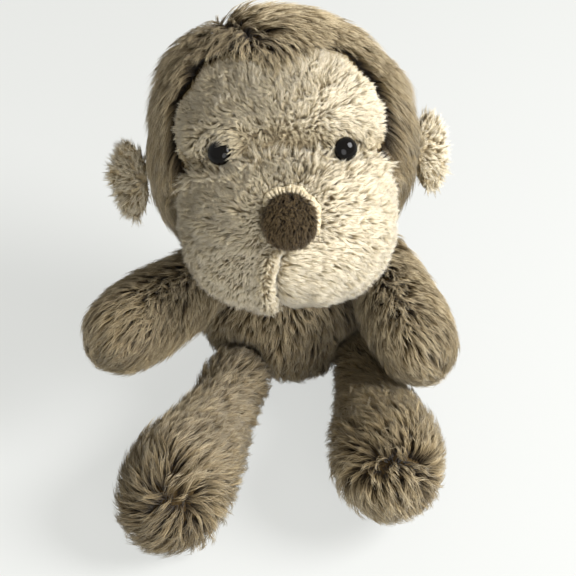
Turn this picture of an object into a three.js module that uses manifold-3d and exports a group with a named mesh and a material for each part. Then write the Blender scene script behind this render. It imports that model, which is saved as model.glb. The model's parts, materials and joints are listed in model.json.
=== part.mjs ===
// Seated plush monkey: sewn pile covers over fibre filling, with button eyes and soft sewn joints.
// Millimetres, +Z up, the toy faces -Y, its own left is +X, and the origin is the middle of the flat seat.
import * as THREE from "three";
import { mergeVertices } from "three/addons/utils/BufferGeometryUtils.js";
import Module from "manifold-3d";

const wasm = await Module();
wasm.setup();

// Covers and clearances
const longPileWall = 6; // brown cover with its pile pressed down
const shortPileWall = 4; // cream cover with its pile pressed down
const seamGap = 0.3; // between pieces sewn or packed against each other
const jointGap = 0.4; // least gap between a ball-shaped root and its socket
const motionGap = 1.1; // between a moving form and the trunk that it swings past
const restFlat = 0.5; // how far a form is pressed flat where it rests

// Trunk
const bodyWidth = 98;
const bodyDepth = 98;
const bodyHeight = 82;
const bodyTaper = 0.16; // share by which the shoulders are slimmer than the middle
const seatFullness = 2.6; // 2 is an ellipse, more is a squarer seat
const pouchWidth = 56;
const pouchDepth = 46;
const pouchHeight = 18;
const pouchOpening = 12; // width of the slit in the filling over the seat

// Neck
const neckRadius = 26;
const neckOpening = 26; // width of the hole that joins the two fillings
const neckSink = 4; // depth of the neck's centre under the top of the trunk
const neckSetback = 4;

// Head
const headWidth = 136;
const headDepth = 120;
const headHeight = 136;
const neckSeatBack = 32; // neck's centre behind the middle of the head
const neckSeatDown = 52; // and under it
const headPitch = 25; // degrees that the face looks up
const headRoll = 3.5; // degrees that the toy's left side is raised
const headYaw = 5; // degrees that the face turns to the toy's right
const headTurnRange = 20; // degrees of turn each way that the hood is hollowed for
const headNodDown = 8; // degrees of chin drop that the hood is hollowed for
const faceStep = 1.5; // the short pile lies this much lower than the hood

// Face panel outline, half of it, across and up from the middle of the head
const faceCleft = 43;
const faceBrowTop = 50;
const faceBrowWidth = 42;
const faceTempleWidth = 90;
const faceTempleUp = 30;
const faceWidth = 100;
const faceCheekUp = 6;
const faceChinDown = 24;

// Muzzle
const muzzleWidth = 108;
const muzzleHeight = 92;
const muzzleDepth = 74;
const muzzleForward = 33;
const muzzleDown = 31;
const muzzleSquareness = 2.5;
const mouthGrooveWidth = 2.4;
const mouthGrooveDepth = 2.6;

// Nose
const noseWidth = 27;
const noseHeight = 28;
const noseThickness = 11;
const noseDown = 24; // nose centre under the middle of the head
const noseSink = 2;

// Eyes
const eyeDiameter = 12;
const eyeDome = 4.6;
const eyeRim = 1;
const eyeSpacing = 58;
const leftEyeUp = 4.5;
const rightEyeUp = 8;
const shankDiameter = 4;
const shankLength = 12;
const washerDiameter = 15;
const washerThickness = 2.5;

// Ears
const earHeight = 43;
const earReach = 20;
const earThickness = 13;
const earDown = 12;
const earSetback = 6;
const earRoot = 2; // how far the ear reaches behind its fold line
const earStand = 1; // fold line off the hood
const earSwings = [-35, -15, 5, 25, 45]; // degrees forward of straight out, over the fold's whole range
const leftEarLay = -25; // the same angle for the left ear as it rests
const rightEarLay = 0;

// Arms
const armBall = 18;
const armRootRadius = 20;
const handRadius = 22;
const armReach = 63; // shoulder to the middle of the hand
const armTip = 89; // shoulder to the end of the hand
const shoulderDrop = 19.5; // shoulders under the top of the trunk
const shoulderAngle = 12; // degrees in front of the trunk's side
const shoulderProud = 10;
const leftArmSpread = 6;
const rightArmSpread = 42;
const armLifts = [0, 4, 8, 12, 16]; // degrees from rest at which an arm is cleared of the trunk
const armSwings = [0, 5, 10, 15]; // and degrees outwards
const leftArmDroop = 1;
const rightArmDroop = -10;
const armWadWall = 2.5; // filling between the cover and the joint's wad

// Legs
const legBall = 19;
const thighRadius = 19;
const footRadius = 29;
const kneeAt = 20; // where the leg starts to swell
const ankleAt = 88; // where the foot is full
const legTip = 120;
const hipHeight = 20;
const hipAngle = 53; // degrees in front of the trunk's side
const hipProud = 8;
const leftLegSpread = -4;
const rightLegSpread = 27;
const leftLegLift = 6; // degrees that the foot is off the floor
const rightLegLift = 0;
const legWadWall = 3;
const rootOpening = 0.7; // width of a limb's opening, as a share of its wad's width

// Colours
const brownPile = 0x7d6c4f;
const creamPile = 0xcfc4a6;
const darkPile = 0x463824;
const fibreWhite = 0xe9e6dc;
const pouchLinen = 0xb9b3a2;
const eyeBlack = 0x15100a;
const washerGrey = 0xd8d6cf;
const eyeGloss = 0.08;
const washerGloss = 0.5;

// Facets round and along each form: hidden linings are coarser than what shows
const trunkFacets = [22, 13];
const trunkLining = [12, 8];
const skullFacets = [26, 15];
const skullLining = [14, 9];
const muzzleFacets = [20, 10];
const muzzleLining = [12, 7];
const armFacets = [14, 9];
const legFacets = [14, 10];
const limbLining = [10, 7];
const ballFacets = [14, 8];
const jointFacets = [18, 11];
const wadFacets = [16, 9];
const neckFacets = [20, 12];
const eyeFacets = 14;
const domeSteps = 4;
const barFacets = 12;
const outlinePoints = 30;
const weldWithin = 1e-4;

const { degToRad: deg, lerp, smoothstep } = THREE.MathUtils;
const sides = [-1, 1];
const at = (x, y, z) => new THREE.Vector3(x, y, z);
const sideName = (side) => (side > 0 ? "left" : "right");

// Solids from geometry and back
function solidOf(geometry) {
  const bare = geometry.index ? geometry.toNonIndexed() : geometry.clone();
  bare.deleteAttribute("normal");
  bare.deleteAttribute("uv");
  const welded = mergeVertices(bare, weldWithin);
  const corners = welded.index.array;
  const kept = [];
  for (let i = 0; i < corners.length; i += 3) {
    const [a, b, c] = [corners[i], corners[i + 1], corners[i + 2]];
    if (a !== b && b !== c && c !== a) kept.push(a, b, c);
  }
  return new wasm.Manifold(
    new wasm.Mesh({
      numProp: 3,
      vertProperties: new Float32Array(welded.attributes.position.array),
      triVerts: new Uint32Array(kept),
    }),
  );
}

function piece(name, solid, colour, roughness = 1) {
  const mesh = solid.getMesh();
  const geometry = new THREE.BufferGeometry();
  geometry.setAttribute("position", new THREE.BufferAttribute(mesh.vertProperties, 3));
  geometry.setIndex(new THREE.BufferAttribute(mesh.triVerts, 1));
  geometry.computeVertexNormals();
  const material = new THREE.MeshStandardMaterial({ color: colour, roughness, metalness: 0 });
  const node = new THREE.Mesh(geometry, material);
  node.name = name;
  return node;
}

// A unit ball with its poles on Z, reshaped point by point
function reshapedBall(facets, reshape) {
  const geometry = new THREE.SphereGeometry(1, ...facets);
  geometry.rotateX(Math.PI / 2);
  const places = geometry.attributes.position;
  const point = new THREE.Vector3();
  for (let i = 0; i < places.count; i++) {
    reshape(point.fromBufferAttribute(places, i));
    places.setXYZ(i, point.x, point.y, point.z);
  }
  return solidOf(geometry);
}

function ellipsoid(centre, halfX, halfY, halfZ, facets) {
  return reshapedBall(facets, (p) => {
    p.set(p.x * halfX, p.y * halfY, p.z * halfZ).add(centre);
  });
}

function ball(centre, radius, facets = ballFacets) {
  return ellipsoid(centre, radius, radius, radius, facets);
}

// A socket's flats lie inside its corners, so its corners are set out until the flats clear the ball
function socketBall(centre, radius, facets = ballFacets) {
  const flats = Math.cos(Math.PI / facets[0]) * Math.cos(Math.PI / 2 / facets[1]);
  return ball(centre, radius / flats, facets);
}

function block(low, high) {
  const size = high.clone().sub(low);
  const middle = low.clone().add(high).divideScalar(2);
  return solidOf(new THREE.BoxGeometry(...size).translate(...middle));
}

// A round bar from one point to another
function bar(from, to, radius, around = barFacets) {
  const along = to.clone().sub(from);
  const geometry = new THREE.CylinderGeometry(radius, radius, along.length(), around);
  const turn = new THREE.Quaternion().setFromUnitVectors(at(0, 1, 0), along.normalize());
  const middle = from.clone().add(to).divideScalar(2);
  return solidOf(geometry.applyQuaternion(turn).translate(...middle));
}

const farAway = 4 * (bodyHeight + headHeight);
const underFloor = block(at(-farAway, -farAway, -farAway), at(farAway, farAway, 0));

// Trunk: a pear on a broad seat, with a ball-shaped neck and a socket for each limb
const bodyMiddle = bodyHeight / 2 - restFlat;
const bodySlim = (rise) => 1 - bodyTaper * rise;
const bodyRing = (rise) => {
  const fullness = rise < 0 ? seatFullness : 2;
  return Math.pow(1 - Math.pow(Math.abs(rise), fullness), 1 / fullness);
};
const neckCentre = at(0, neckSetback, bodyHeight - restFlat - neckSink);

function trunk(inset, facets) {
  return reshapedBall(facets, (p) => {
    const rise = p.z;
    const across = Math.hypot(p.x, p.y) || 1;
    const size = (bodyRing(rise) * bodySlim(rise)) / across;
    p.x *= (bodyWidth / 2 - inset) * size;
    p.y *= (bodyDepth / 2 - inset) * size;
    p.z = bodyMiddle + (bodyHeight / 2 - inset) * rise;
  });
}

// A point off the trunk's surface: degrees in front of the side, height and distance out
function offTrunk(side, angle, height, proud) {
  const rise = (height - bodyMiddle) / (bodyHeight / 2);
  const size = bodyRing(rise) * bodySlim(rise);
  const out = at(side * Math.cos(deg(angle)), -Math.sin(deg(angle)), 0);
  const reach = size / Math.hypot(out.x / (bodyWidth / 2), out.y / (bodyDepth / 2));
  return out.multiplyScalar(reach + proud).setZ(height);
}

const shoulderOf = (side) => offTrunk(side, shoulderAngle, bodyHeight - shoulderDrop, shoulderProud);
const hipOf = (side) => offTrunk(side, hipAngle, hipHeight, hipProud);

// A moving form is hollowed where another would meet it, at each placing that its joints give it
function clearOf(keepOut, solid, placings) {
  let cut = solid;
  for (const placing of placings) {
    cut = cut.subtract(keepOut.transform(placing.clone().invert().elements));
  }
  return cut;
}

function socketed(solid, extra, facets) {
  let cut = solid;
  for (const side of sides) {
    cut = cut.subtract(socketBall(shoulderOf(side), armBall + jointGap + extra, facets));
    cut = cut.subtract(socketBall(hipOf(side), legBall + jointGap + extra, facets));
  }
  return cut;
}

function trunkPieces() {
  const neckTop = neckCentre.clone().setZ(neckCentre.z + 2 * neckRadius);
  const neckInside = socketBall(neckCentre, neckRadius - longPileWall, neckFacets);
  const neckWay = bar(neckCentre, neckTop, neckOpening / 2);
  const lining = longPileWall + seamGap;
  const outside = socketed(trunk(0, trunkFacets).add(ball(neckCentre, neckRadius)), 0, jointFacets);
  const inside = socketed(trunk(longPileWall, trunkLining), longPileWall, wadFacets).add(neckInside);
  const filling = socketed(trunk(lining, trunkLining), lining, wadFacets);
  const pouchMiddle = at(0, neckSetback, lining + seamGap + pouchHeight / 2);
  const pouchWay = bar(pouchMiddle, at(0, neckSetback, -farAway), pouchOpening / 2);
  const pouch = (extra) => {
    const half = [pouchWidth, pouchDepth, pouchHeight].map((size) => size / 2 + extra);
    return ellipsoid(pouchMiddle, ...half, ballFacets);
  };
  const cover = outside.subtract(inside).subtract(neckWay).subtract(underFloor);
  const stuffing = filling.subtract(neckInside).subtract(pouch(seamGap)).subtract(pouchWay);
  return [
    piece("body_cover", cover, brownPile),
    piece("body_stuffing", stuffing, fibreWhite),
    piece("seat_pouch", pouch(0), pouchLinen),
    piece("neck_stuffing", ball(neckCentre, neckRadius - lining, neckFacets), fibreWhite),
  ];
}

// Head: built round its own middle, then set on the neck
function skull(inset, facets) {
  const half = [headWidth, headDepth, headHeight].map((size) => size / 2 - inset);
  return ellipsoid(at(0, 0, 0), ...half, facets);
}

const skullFront = (x, z) =>
  (-headDepth / 2) * Math.sqrt(1 - (x / (headWidth / 2)) ** 2 - (z / (headHeight / 2)) ** 2);

const muzzleMiddle = at(0, -muzzleForward, -muzzleDown);

// The muzzle's poles are at its front and back, and its outline is a soft rectangle
function muzzle(inset, facets = muzzleFacets) {
  return reshapedBall(facets, (p) => {
    const across = Math.hypot(p.x, p.y) || 1;
    const [c, s] = [p.x / across, p.y / across];
    const n = muzzleSquareness;
    const square = Math.pow(Math.abs(c) ** n + Math.abs(s) ** n, -1 / n);
    const ring = square * Math.sqrt(Math.max(0, 1 - p.z ** 2));
    p.set(
      muzzleMiddle.x + c * ring * (muzzleWidth / 2 - inset),
      muzzleMiddle.y - p.z * (muzzleDepth / 2 - inset),
      muzzleMiddle.z + s * ring * (muzzleHeight / 2 - inset),
    );
  });
}

// The face panel's outline pushed straight back through the front half of the head
function facePrism(inset) {
  const half = [
    at(faceBrowWidth / 2, faceBrowTop, 0),
    at(faceTempleWidth / 2, faceTempleUp, 0),
    at(faceWidth / 2, faceCheekUp, 0),
    at(faceTempleWidth / 2, -faceChinDown / 2, 0),
    at(faceBrowWidth / 2, -faceChinDown, 0),
  ];
  const mirrored = half.map((p) => at(-p.x, p.y, 0)).reverse();
  const corners = [at(0, faceCleft, 0), ...half, ...mirrored];
  const round = new THREE.CatmullRomCurve3(corners, true, "centripetal");
  const points = round.getPoints(outlinePoints).slice(0, -1);
  const shrinkX = 1 - (2 * inset) / faceWidth;
  const shrinkY = 1 - inset / faceBrowTop;
  const outline = new THREE.Shape(points.map((p) => new THREE.Vector2(p.x * shrinkX, p.y * shrinkY)));
  const geometry = new THREE.ExtrudeGeometry(outline, { depth: headDepth, bevelEnabled: false });
  return solidOf(geometry.rotateX(Math.PI / 2));
}

// Where the nose sits on the muzzle, and which way it looks
const noseRise = (muzzleDown - noseDown) / (muzzleHeight / 2);
const noseCentre = at(0, muzzleMiddle.y - (muzzleDepth / 2) * Math.sqrt(1 - noseRise ** 2), -noseDown);
const noseTilt = Math.atan2(noseRise / muzzleHeight, Math.sqrt(1 - noseRise ** 2) / muzzleDepth);

function noseForm(extra) {
  const tilt = new THREE.Quaternion().setFromAxisAngle(at(1, 0, 0), -noseTilt);
  return reshapedBall(ballFacets, (p) => {
    p.set(p.x * (noseWidth / 2 + extra), p.y * (noseThickness / 2 + extra), p.z * (noseHeight / 2 + extra));
    p.applyQuaternion(tilt).add(noseCentre);
  });
}

// Eyes: a domed button with a shank that a washer locks behind the face panel
const eyeSpot = (side) => {
  const x = (side * eyeSpacing) / 2;
  const up = side > 0 ? leftEyeUp : rightEyeUp;
  return at(x, skullFront(x, up), up);
};
const eyeOut = (side) => {
  const spot = eyeSpot(side);
  return at(spot.x / headWidth ** 2, spot.y / headDepth ** 2, spot.z / headHeight ** 2).normalize();
};
const eyeSeat = (side) => eyeSpot(side).addScaledVector(eyeOut(side), seamGap);

function turned(profile, seat, out) {
  const geometry = new THREE.LatheGeometry(profile, eyeFacets);
  const turn = new THREE.Quaternion().setFromUnitVectors(at(0, 1, 0), out);
  return solidOf(geometry.applyQuaternion(turn).translate(...seat));
}

function eyeButton(side) {
  const profile = [new THREE.Vector2(0, -shankLength)];
  profile.push(new THREE.Vector2(shankDiameter / 2, -shankLength));
  profile.push(new THREE.Vector2(shankDiameter / 2, 0));
  profile.push(new THREE.Vector2(eyeDiameter / 2, 0));
  profile.push(new THREE.Vector2(eyeDiameter / 2, eyeRim));
  for (let i = 1; i <= domeSteps; i++) {
    const turn = (i / domeSteps) * (Math.PI / 2);
    profile.push(
      new THREE.Vector2((eyeDiameter / 2) * Math.cos(turn), eyeRim + (eyeDome - eyeRim) * Math.sin(turn)),
    );
  }
  profile[profile.length - 1].x = 0;
  return turned(profile, eyeSeat(side), eyeOut(side));
}

// The washer lies just under the head's cover
const washerTop = -(longPileWall + 3 * seamGap);

function eyeWasher(side, extra) {
  const inner = extra ? 0 : shankDiameter / 2 + seamGap / 2;
  const outer = washerDiameter / 2 + extra;
  const low = washerTop - washerThickness - extra;
  const high = washerTop + extra;
  const profile = [
    new THREE.Vector2(inner, low),
    new THREE.Vector2(outer, low),
    new THREE.Vector2(outer, high),
    new THREE.Vector2(inner, high),
  ];
  if (inner > 0) profile.push(profile[0].clone());
  return turned(profile, eyeSeat(side), eyeOut(side));
}

function eyeWay(side) {
  const seat = eyeSeat(side);
  const inward = seat.clone().addScaledVector(eyeOut(side), -(shankLength + seamGap));
  const outward = seat.clone().addScaledVector(eyeOut(side), eyeDome);
  return bar(inward, outward, shankDiameter / 2 + seamGap / 2, eyeFacets);
}

// Room for the button in the top of the muzzle
function eyePocket(side) {
  const seat = eyeSeat(side);
  const low = seat.clone().addScaledVector(eyeOut(side), -seamGap);
  const high = seat.clone().addScaledVector(eyeOut(side), 2 * eyeDome);
  return bar(low, high, eyeDiameter / 2 + seamGap, eyeFacets);
}

// Ears: a front and a back panel round a fold line that stands just off the hood
const earFold = (side) => {
  const level = Math.sqrt(1 - (earDown / (headHeight / 2)) ** 2 - (earSetback / (headDepth / 2)) ** 2);
  return at(side * ((headWidth / 2) * level + earStand), earSetback, -earDown);
};

function earForm(side, extra, swing, part = (solid) => solid) {
  const fold = earFold(side);
  const halfReach = (earReach + earRoot) / 2;
  const half = [halfReach, earThickness / 2, earHeight / 2].map((size) => size + extra);
  const straight = part(ellipsoid(at(side * (earReach - halfReach), 0, 0), ...half, ballFacets));
  return straight.rotate(0, 0, -side * swing).translate(...fold);
}

// The hollow in the hood that the ear's root swings in
function earHollow(side) {
  const swung = earSwings.map((swing) => earForm(side, seamGap, swing));
  return swung.reduce((whole, solid) => whole.add(solid));
}

function earPieces(side) {
  const lay = side > 0 ? leftEarLay : rightEarLay;
  const front = block(at(-farAway, -farAway, -farAway), at(farAway, -seamGap / 2, farAway));
  const back = block(at(-farAway, seamGap / 2, -farAway), at(farAway, farAway, farAway));
  const panel = (half) => earForm(side, 0, lay, (solid) => solid.intersect(half));
  return [
    piece(`${sideName(side)}_ear_front`, panel(front), creamPile),
    piece(`${sideName(side)}_ear_back`, panel(back), creamPile),
  ];
}

const headTurn = new THREE.Euler(deg(-headPitch), deg(-headRoll), deg(-headYaw), "ZYX");
const neckSeat = at(0, neckSeatBack, -neckSeatDown);

// The head's placing after it turns and nods on the neck
function headPlacing(turn, nod) {
  const nodAxis = at(Math.cos(deg(headYaw)), -Math.sin(deg(headYaw)), 0);
  return new THREE.Matrix4()
    .makeTranslation(neckCentre)
    .multiply(new THREE.Matrix4().makeRotationZ(deg(turn)))
    .multiply(new THREE.Matrix4().makeRotationAxis(nodAxis, deg(nod)))
    .multiply(new THREE.Matrix4().makeRotationFromEuler(headTurn))
    .multiply(new THREE.Matrix4().makeTranslation(neckSeat.clone().negate()));
}

function headGroup() {
  const group = new THREE.Group();
  group.rotation.copy(headTurn);
  group.position.copy(neckCentre).sub(neckSeat.clone().applyEuler(headTurn));
  const placings = [-headTurnRange, 0, headTurnRange].flatMap((turn) => [
    headPlacing(turn, 0),
    headPlacing(turn, headNodDown),
  ]);

  const socket = socketBall(neckSeat, neckRadius + jointGap);
  const inside = skull(longPileWall, skullLining);
  const muzzleOutside = muzzle(-seamGap);
  const relieved = clearOf(trunk(-motionGap, trunkFacets), skull(0, skullFacets), placings);
  const skullCover = relieved.subtract(inside).subtract(socket);
  const faceSkin = skull(faceStep, skullFacets).subtract(inside);
  let hood = skullCover.subtract(facePrism(0)).subtract(muzzleOutside);
  let face = faceSkin.intersect(facePrism(seamGap)).subtract(muzzleOutside);
  let stuffing = skull(longPileWall + seamGap, skullLining).subtract(socket);
  for (const side of sides) {
    hood = hood.subtract(earHollow(side));
    face = face.subtract(eyeWay(side)).subtract(eyeWasher(side, seamGap));
    stuffing = stuffing.subtract(eyeWay(side)).subtract(eyeWasher(side, seamGap));
  }

  const grooveTop = -(noseDown + noseHeight / 2 + shortPileWall / 2);
  const grooveLow = at(-mouthGrooveWidth / 2, -headDepth, -headHeight);
  const grooveHigh = at(mouthGrooveWidth / 2, -headDepth / 4, grooveTop);
  const groove = muzzleOutside.subtract(muzzle(mouthGrooveDepth)).intersect(block(grooveLow, grooveHigh));
  const nosePocket = noseForm(seamGap).subtract(muzzle(noseSink + seamGap));
  let muzzleCover = muzzle(0)
    .subtract(muzzle(shortPileWall, muzzleLining))
    .subtract(inside)
    .subtract(groove)
    .subtract(nosePocket);
  let muzzleFilling = muzzle(shortPileWall + seamGap, muzzleLining).subtract(inside);
  for (const side of sides) {
    const eyeRoom = eyePocket(side).add(eyeWay(side)).add(eyeWasher(side, seamGap));
    muzzleCover = muzzleCover.subtract(eyeRoom);
    muzzleFilling = muzzleFilling.subtract(eyeRoom);
  }

  group.add(
    piece("hood", hood, brownPile),
    piece("face_panel", face, creamPile),
    piece("head_stuffing", stuffing, fibreWhite),
    piece("muzzle_cover", muzzleCover, creamPile),
    piece("muzzle_stuffing", muzzleFilling, fibreWhite),
    piece("nose_patch", noseForm(0).subtract(muzzle(noseSink)), darkPile),
  );
  for (const side of sides) {
    group.add(piece(`${sideName(side)}_eye`, eyeButton(side), eyeBlack, eyeGloss));
    group.add(piece(`${sideName(side)}_eye_washer`, eyeWasher(side, 0), washerGrey, washerGloss));
    group.add(...earPieces(side));
  }
  return group;
}

// A limb lies along -Y from its ball at the origin: swell is its radius and rise is its middle's height
function limbForm({ rootBall, tip, swell, rise }, inset, facets, rootFacets) {
  const start = -rootBall / 2;
  const form = reshapedBall(facets, (p) => {
    const run = (1 - p.z) / 2;
    const reach = lerp(start + inset, tip - inset, run);
    const across = Math.hypot(p.x, p.y) || 1;
    const full = Math.sqrt(1 - Math.min(1, Math.abs(p.z)) ** 4);
    const size = ((swell(reach) - inset) * full) / across;
    p.set(p.x * size, -reach, rise(reach) - p.y * size);
  });
  return form.add(ball(at(0, 0, 0), rootBall - inset, rootFacets));
}

// Cover, filling and the wad in the joint, in the limb's own frame; the root is open towards the trunk
function limbPieces(limb, name, wadName, trim) {
  const wadRadius = limb.rootBall - longPileWall - 2 * seamGap - limb.wadWall;
  const rootWay = bar(at(0, 0, 0), at(0, 2 * limb.rootBall, 0), wadRadius * rootOpening);
  const outside = limbForm(limb, 0, limb.facets, jointFacets);
  const inside = limbForm(limb, longPileWall, limbLining, wadFacets);
  const filling = limbForm(limb, longPileWall + seamGap, limbLining, wadFacets)
    .subtract(socketBall(at(0, 0, 0), wadRadius + seamGap, wadFacets))
    .subtract(rootWay);
  return [
    piece(`${name}_cover`, trim(outside.subtract(inside).subtract(rootWay)), brownPile),
    piece(`${name}_stuffing`, trim(filling), fibreWhite),
    piece(wadName, ball(at(0, 0, 0), wadRadius, wadFacets), fibreWhite),
  ];
}

const arm = {
  rootBall: armBall,
  wadWall: armWadWall,
  tip: armTip,
  facets: armFacets,
  swell: (reach) => lerp(armRootRadius, handRadius, smoothstep(reach, 0, armReach)),
  rise: () => 0,
};

const legSwell = (reach) => lerp(thighRadius, footRadius, smoothstep(reach, kneeAt, ankleAt));

const leg = {
  rootBall: legBall,
  wadWall: legWadWall,
  tip: legTip,
  facets: legFacets,
  swell: legSwell,
  rise: (reach) => (legSwell(reach) - restFlat - hipHeight) * smoothstep(reach, 0, kneeAt),
};

function armGroup(side) {
  const group = new THREE.Group();
  const spread = side > 0 ? leftArmSpread : -rightArmSpread;
  const droop = side > 0 ? leftArmDroop : rightArmDroop;
  const shoulder = shoulderOf(side);
  group.position.copy(shoulder);
  group.rotation.set(deg(droop), 0, deg(spread), "ZYX");
  const placing = (lift, swing) => {
    const turn = new THREE.Euler(deg(droop - lift), 0, deg(spread + side * swing), "ZYX");
    return new THREE.Matrix4().makeRotationFromEuler(turn).setPosition(shoulder);
  };
  const placings = armLifts.flatMap((lift) => armSwings.map((swing) => placing(lift, swing)));
  const name = sideName(side);
  const keepOut = socketed(trunk(-motionGap, trunkFacets), 0, jointFacets);
  const trim = (solid) => clearOf(keepOut, solid, placings);
  group.add(...limbPieces(arm, `${name}_arm`, `${name}_shoulder_stuffing`, trim));
  return group;
}

function legGroup(side) {
  const group = new THREE.Group();
  const spread = side > 0 ? leftLegSpread : -rightLegSpread;
  const lift = side > 0 ? leftLegLift : rightLegLift;
  const hip = hipOf(side);
  group.position.copy(hip);
  group.rotation.set(deg(-lift), 0, deg(spread), "ZYX");
  const placing = new THREE.Matrix4().makeRotationFromEuler(group.rotation).setPosition(hip);
  const name = sideName(side);
  const trim = (solid) => clearOf(underFloor, solid, [placing]);
  group.add(...limbPieces(leg, `${name}_leg`, `${name}_hip_stuffing`, trim));
  return group;
}

const monkey = new THREE.Group();
monkey.name = "plush_monkey";
monkey.add(...trunkPieces(), headGroup());
for (const side of sides) {
  monkey.add(armGroup(side), legGroup(side));
}

export default monkey;
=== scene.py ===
import json
import math

import bpy
import numpy as np
from mathutils import Euler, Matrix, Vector
from mathutils.bvhtree import BVHTree

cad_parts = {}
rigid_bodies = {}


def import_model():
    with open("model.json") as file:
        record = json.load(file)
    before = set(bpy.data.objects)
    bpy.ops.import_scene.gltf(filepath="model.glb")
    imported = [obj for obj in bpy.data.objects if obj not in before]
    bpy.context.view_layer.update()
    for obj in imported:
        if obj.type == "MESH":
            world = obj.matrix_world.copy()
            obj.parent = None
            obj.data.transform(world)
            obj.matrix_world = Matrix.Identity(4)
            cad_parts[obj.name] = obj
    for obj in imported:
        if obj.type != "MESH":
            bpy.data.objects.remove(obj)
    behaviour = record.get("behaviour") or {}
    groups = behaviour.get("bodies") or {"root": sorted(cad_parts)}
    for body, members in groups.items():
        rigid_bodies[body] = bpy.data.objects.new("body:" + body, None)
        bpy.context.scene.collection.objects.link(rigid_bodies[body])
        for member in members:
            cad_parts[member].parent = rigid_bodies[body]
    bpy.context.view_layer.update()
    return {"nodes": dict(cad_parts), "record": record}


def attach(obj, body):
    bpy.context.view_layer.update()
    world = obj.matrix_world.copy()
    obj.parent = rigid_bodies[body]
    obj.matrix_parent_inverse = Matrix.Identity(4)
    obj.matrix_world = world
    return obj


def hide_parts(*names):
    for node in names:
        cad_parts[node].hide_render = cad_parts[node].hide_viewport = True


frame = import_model()
scene = bpy.context.scene
mm = 0.001
print("frame loaded:", len(frame["nodes"]), "nodes")

# the joint that carries each body, and its place
joints = {joint["child"]: joint for joint in frame["record"]["behaviour"]["joints"]}
jointPlaces = {body: np.array(joint["pos_m"]) / mm for body, joint in joints.items()}

# how the head sits on the neck: its own turn and middle, so that the face can be laid out square on
headPlace = {"seat": (0, 32, -52), "turn": (-25, -3.5, -5)}
skullHalf = np.array((68, 60, 68))
headTurn = np.array(Euler([math.radians(a) for a in headPlace["turn"]], "XYZ").to_matrix())
headMiddle = jointPlaces["head"] - headTurn @ np.array(headPlace["seat"])


def inHead(points):
    return (points - headMiddle) @ headTurn


def fromHead(points):
    return np.asarray(points, float) @ headTurn.T + headMiddle


# one on the skull's outside, less inside it
def skullShare(own):
    return ((own / skullHalf) ** 2).sum(1)


def unit(v):
    return v / np.maximum(np.linalg.norm(v, axis=-1, keepdims=True), 1e-9)


def ease(low, high, x):
    t = np.clip((x - low) / (high - low), 0, 1)
    return t * t * (3 - 2 * t)


waveSizes = (1.0, 0.62, 0.4)


# smooth wandering values, made of a few waves with fixed phases
def wander(points, wave, seed):
    rng = np.random.default_rng(seed)
    total = np.zeros((len(points), 3))
    for size in waveSizes:
        for axis in range(3):
            way = unit(rng.normal(size=(3, 3))) * 2 * math.pi / (wave * size)
            phase = rng.uniform(0, 2 * math.pi, 3)
            total[:, axis] += size * np.sin(points @ way.T + phase).sum(1) / 3
    return total


# meshes in and out of arrays, all in millimetres

def meshArrays(mesh):
    mesh.calc_loop_triangles()
    points = np.zeros(len(mesh.vertices) * 3)
    mesh.vertices.foreach_get("co", points)
    corners = np.zeros(len(mesh.loop_triangles) * 3, np.int32)
    mesh.loop_triangles.foreach_get("vertices", corners)
    return points.reshape(-1, 3) / mm, corners.reshape(-1, 3)


def vertexNormals(points, corners):
    a, b, c = (points[corners[:, i]] for i in range(3))
    face = np.cross(b - a, c - a)
    total = np.zeros_like(points)
    for i in range(3):
        np.add.at(total, corners[:, i], face)
    return unit(total)


def newMesh(name, points, corners):
    mesh = bpy.data.meshes.new(name)
    mesh.vertices.add(len(points))
    mesh.vertices.foreach_set("co", (np.asarray(points) * mm).astype(np.float32).ravel())
    mesh.loops.add(len(corners) * 3)
    mesh.loops.foreach_set("vertex_index", np.asarray(corners, np.int32).ravel())
    mesh.polygons.add(len(corners))
    mesh.polygons.foreach_set("loop_start", np.arange(0, len(corners) * 3, 3, dtype=np.int32))
    mesh.polygons.foreach_set("use_smooth", np.ones(len(corners), bool))
    mesh.update(calc_edges=True)
    return mesh


def newObject(name, mesh):
    obj = bpy.data.objects.new(name, mesh)
    scene.collection.objects.link(obj)
    return obj


def movePoints(obj, points):
    obj.data.vertices.foreach_set("co", (points * mm).ravel())
    obj.data.update()


def nodeArrays(names):
    points, corners, count = [], [], 0
    for name in names:
        p, c = meshArrays(frame["nodes"][name].data)
        points.append(p)
        corners.append(c + count)
        count += len(p)
    return np.vstack(points), np.vstack(corners)


def settled(obj):
    graph = bpy.context.evaluated_depsgraph_get()
    mesh = bpy.data.meshes.new_from_object(obj.evaluated_get(graph))
    obj.modifiers.clear()
    obj.data = mesh
    return obj


# a stuffed form from its solids: one skin round them all, drawn in by the depth of the pile
def drawnIn(name, nodes, voxel, inset, smooth=8):
    obj = newObject(name, newMesh(name, *nodeArrays(nodes)))
    remesh = obj.modifiers.new("remesh", "REMESH")
    remesh.mode = "VOXEL"
    remesh.voxel_size = voxel * mm
    soften = obj.modifiers.new("soften", "SMOOTH")
    soften.factor = 0.5
    soften.iterations = smooth
    pull = obj.modifiers.new("pull", "DISPLACE")
    pull.strength = -inset * mm
    pull.mid_level = 0
    return settled(obj)


clothSteps = 20


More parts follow.
